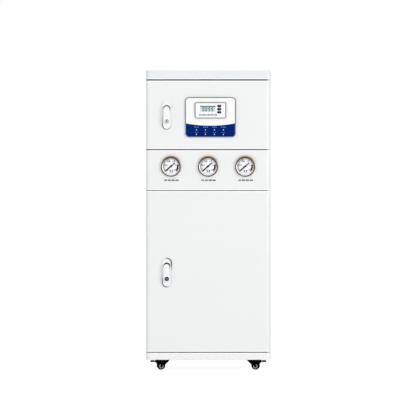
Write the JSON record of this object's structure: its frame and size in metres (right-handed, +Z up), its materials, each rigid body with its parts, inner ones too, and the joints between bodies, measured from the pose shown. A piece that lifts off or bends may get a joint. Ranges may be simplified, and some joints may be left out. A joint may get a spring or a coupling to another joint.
{
  "type": "ultrapure water system",
  "caption": "Floor-standing ultrapure water system: a tall white steel cabinet on swivel casters with hinged doors, a conductivity controller, pressure gauges and a filter train.",
  "frame": {"origin": "on the floor under the middle of the cabinet", "axes": "+X to the right seen from the front, +Y to the back, +Z up; the doors face -Y"},
  "size_m": [0.4, 0.482, 0.96],
  "materials": {
    "cabinet_enamel": "white powder coat, semi gloss, fine orange peel",
    "door_enamel": "white powder coat, semi gloss, fine orange peel",
    "zinc_plate": "zinc plated, satin",
    "seal_rubber": "matt extruded rubber",
    "lock_enamel": "pale grey enamel on die casting",
    "lock_chrome": "polished chrome plate",
    "lock_dark": "dark blue enamelled plug",
    "faceplate_film": "gloss printed film on plate",
    "band_film": "gloss navy printed film",
    "lamp_plastic": "clear moulded lens, lit",
    "meter_plastic": "fine moulded texture",
    "display_glass": "backlit liquid crystal under glass",
    "key_plastic": "moulded navy key",
    "gauge_steel": "turned warm grey steel",
    "gauge_case": "black enamel",
    "dial_enamel": "white enamelled dial with printed scale",
    "gauge_glass": "clear flat glass",
    "pointer_black": "matt black enamel",
    "caster_black": "black enamel",
    "wheel_plastic": "black moulded tread with a pale hub ring",
    "pedal_plastic": "black moulded plastic",
    "bracket_enamel": "grey powder coat",
    "head_plastic": "blue moulded polypropylene",
    "bowl_plastic": "white moulded polypropylene",
    "membrane_plastic": "white moulded housing",
    "column_plastic": "translucent resin column",
    "tank_enamel": "enamelled tank, full of water",
    "pump_enamel": "dark grey enamel",
    "pump_plastic": "black glass-filled plastic",
    "supply_case": "folded perforated aluminium",
    "port_plastic": "white push-fit fitting",
    "tube_plastic": "translucent polyethylene tube",
    "inlet_plastic": "black moulded inlet",
    "rocker_plastic": "red moulded rocker"
  },
  "bodies": {
    "cabinet": {"base_tray": "cabinet_enamel", "top_cap": "cabinet_enamel", "left_side_panel": "cabinet_enamel", "right_side_panel": "cabinet_enamel", "front_frame": "cabinet_enamel", "rear_panel": "cabinet_enamel", "gauge_panel": "door_enamel", "mid_shelf": "cabinet_enamel", "hinge_pins": "zinc_plate", "door_seals": "seal_rubber", "cabinet_screws": "zinc_plate", "caster_plates": "zinc_plate", "gauge_cases": "gauge_case", "gauge_bezels": "gauge_steel", "gauge_dials": "dial_enamel", "gauge_lenses": "gauge_glass", "filter_bracket": "bracket_enamel", "filter_heads": "head_plastic", "filter_bowls": "bowl_plastic", "pump_motor": "pump_enamel", "pump_head": "pump_plastic", "pressure_tank": "tank_enamel", "membrane_housings": "membrane_plastic", "polishing_columns": "column_plastic", "power_supply": "supply_case", "water_ports": "port_plastic", "power_inlet": "inlet_plastic", "water_tubes": "tube_plastic"},
    "lower_door": {"lower_door": "door_enamel", "lower_lock_base": "lock_enamel"},
    "upper_door": {"upper_door": "door_enamel", "upper_lock_base": "lock_enamel", "control_faceplate": "faceplate_film", "indicator_band": "band_film", "indicator_lenses": "lamp_plastic", "meter_case": "meter_plastic", "meter_window": "display_glass"},
    "lower_lever": {"lower_lock_lever": "lock_enamel", "lower_lock_cam": "zinc_plate"},
    "upper_lever": {"upper_lock_lever": "lock_enamel", "upper_lock_cam": "zinc_plate"},
    "lower_plug": {"lower_lock_plug": "lock_dark"},
    "upper_plug": {"upper_lock_plug": "lock_chrome"},
    "key_up": {"meter_button_up": "key_plastic"},
    "key_set": {"meter_button_set": "key_plastic"},
    "key_down": {"meter_button_down": "key_plastic"},
    "left_needle": {"left_pointer": "pointer_black"},
    "middle_needle": {"middle_pointer": "pointer_black"},
    "right_needle": {"right_pointer": "pointer_black"},
    "rocker": {"power_switch": "rocker_plastic"},
    "front_left_caster": {"front_left_fork": "caster_black"},
    "front_left_roller": {"front_left_wheel": "wheel_plastic"},
    "front_left_brake": {"front_left_pedal": "pedal_plastic"},
    "front_right_caster": {"front_right_fork": "caster_black"},
    "front_right_roller": {"front_right_wheel": "wheel_plastic"},
    "front_right_brake": {"front_right_pedal": "pedal_plastic"},
    "rear_left_caster": {"rear_left_fork": "caster_black"},
    "rear_left_roller": {"rear_left_wheel": "wheel_plastic"},
    "rear_right_caster": {"rear_right_fork": "caster_black"},
    "rear_right_roller": {"rear_right_wheel": "wheel_plastic"}
  },
  "joints": [
    {"name": "lower_door_hinge", "type": "hinge", "parent": "cabinet", "child": "lower_door", "pos_m": [0.193, -0.216, 0.0581], "axis": [0, 0, 1], "range_deg": [0, 110]},
    {"name": "upper_door_hinge", "type": "hinge", "parent": "cabinet", "child": "upper_door", "pos_m": [0.193, -0.216, 0.708], "axis": [0, 0, 1], "range_deg": [0, 110]},
    {"name": "upper_lever_turn", "type": "hinge", "parent": "upper_door", "child": "upper_lever", "pos_m": [-0.133, -0.23, 0.797], "axis": [0, -1, 0], "range_deg": [0, 90]},
    {"name": "upper_key_turn", "type": "hinge", "parent": "upper_lever", "child": "upper_plug", "pos_m": [-0.133, -0.236, 0.797], "axis": [0, -1, 0], "range_deg": [0, 90]},
    {"name": "lower_lever_turn", "type": "hinge", "parent": "lower_door", "child": "lower_lever", "pos_m": [-0.133, -0.23, 0.2925], "axis": [0, -1, 0], "range_deg": [0, 90]},
    {"name": "lower_key_turn", "type": "hinge", "parent": "lower_lever", "child": "lower_plug", "pos_m": [-0.133, -0.236, 0.2925], "axis": [0, -1, 0], "range_deg": [0, 90]},
    {"name": "key_up_press", "type": "slide", "parent": "upper_door", "child": "key_up", "axis": [0, 1, 0], "range_m": [0, 0.0008], "stiffness_N_per_m": 500},
    {"name": "key_set_press", "type": "slide", "parent": "upper_door", "child": "key_set", "axis": [0, 1, 0], "range_m": [0, 0.0008], "stiffness_N_per_m": 500},
    {"name": "key_down_press", "type": "slide", "parent": "upper_door", "child": "key_down", "axis": [0, 1, 0], "range_m": [0, 0.0008], "stiffness_N_per_m": 500},
    {"name": "left_needle_turn", "type": "hinge", "parent": "cabinet", "child": "left_needle", "pos_m": [-0.119, -0.228, 0.6538], "axis": [0, 1, 0], "range_deg": [-4, 266], "stiffness_Nm_per_rad": 0.001},
    {"name": "middle_needle_turn", "type": "hinge", "parent": "cabinet", "child": "middle_needle", "pos_m": [0, -0.228, 0.6538], "axis": [0, 1, 0], "range_deg": [-4, 266], "stiffness_Nm_per_rad": 0.001},
    {"name": "right_needle_turn", "type": "hinge", "parent": "cabinet", "child": "right_needle", "pos_m": [0.119, -0.228, 0.6538], "axis": [0, 1, 0], "range_deg": [-4, 266], "stiffness_Nm_per_rad": 0.001},
    {"name": "front_left_swivel", "type": "hinge", "parent": "cabinet", "child": "front_left_caster", "pos_m": [-0.146, -0.175, 0.03], "axis": [0, 0, 1], "continuous": true},
    {"name": "front_left_roll", "type": "hinge", "parent": "front_left_caster", "child": "front_left_roller", "pos_m": [-0.152, -0.175, 0.0138], "axis": [0, 1, 0], "continuous": true},
    {"name": "front_left_brake_press", "type": "hinge", "parent": "front_left_caster", "child": "front_left_brake", "pos_m": [-0.167, -0.175, 0.0256], "axis": [0, -1, 0], "range_deg": [0, 12]},
    {"name": "front_right_swivel", "type": "hinge", "parent": "cabinet", "child": "front_right_caster", "pos_m": [0.146, -0.175, 0.03], "axis": [0, 0, 1], "continuous": true},
    {"name": "front_right_roll", "type": "hinge", "parent": "front_right_caster", "child": "front_right_roller", "pos_m": [0.152, -0.175, 0.0138], "axis": [0, 1, 0], "continuous": true},
    {"name": "front_right_brake_press", "type": "hinge", "parent": "front_right_caster", "child": "front_right_brake", "pos_m": [0.167, -0.175, 0.0256], "axis": [0, 1, 0], "range_deg": [0, 12]},
    {"name": "rear_left_swivel", "type": "hinge", "parent": "cabinet", "child": "rear_left_caster", "pos_m": [-0.146, 0.175, 0.03], "axis": [0, 0, 1], "continuous": true},
    {"name": "rear_left_roll", "type": "hinge", "parent": "rear_left_caster", "child": "rear_left_roller", "pos_m": [-0.152, 0.175, 0.0138], "axis": [0, 1, 0], "continuous": true},
    {"name": "rear_right_swivel", "type": "hinge", "parent": "cabinet", "child": "rear_right_caster", "pos_m": [0.146, 0.175, 0.03], "axis": [0, 0, 1], "continuous": true},
    {"name": "rear_right_roll", "type": "hinge", "parent": "rear_right_caster", "child": "rear_right_roller", "pos_m": [0.152, 0.175, 0.0138], "axis": [0, 1, 0], "continuous": true},
    {"name": "rocker_tip", "type": "hinge", "parent": "cabinet", "child": "rocker", "pos_m": [-0.098, 0.225, 0.76], "axis": [-1, 0, 0], "range_deg": [0, 18]}
  ]
}
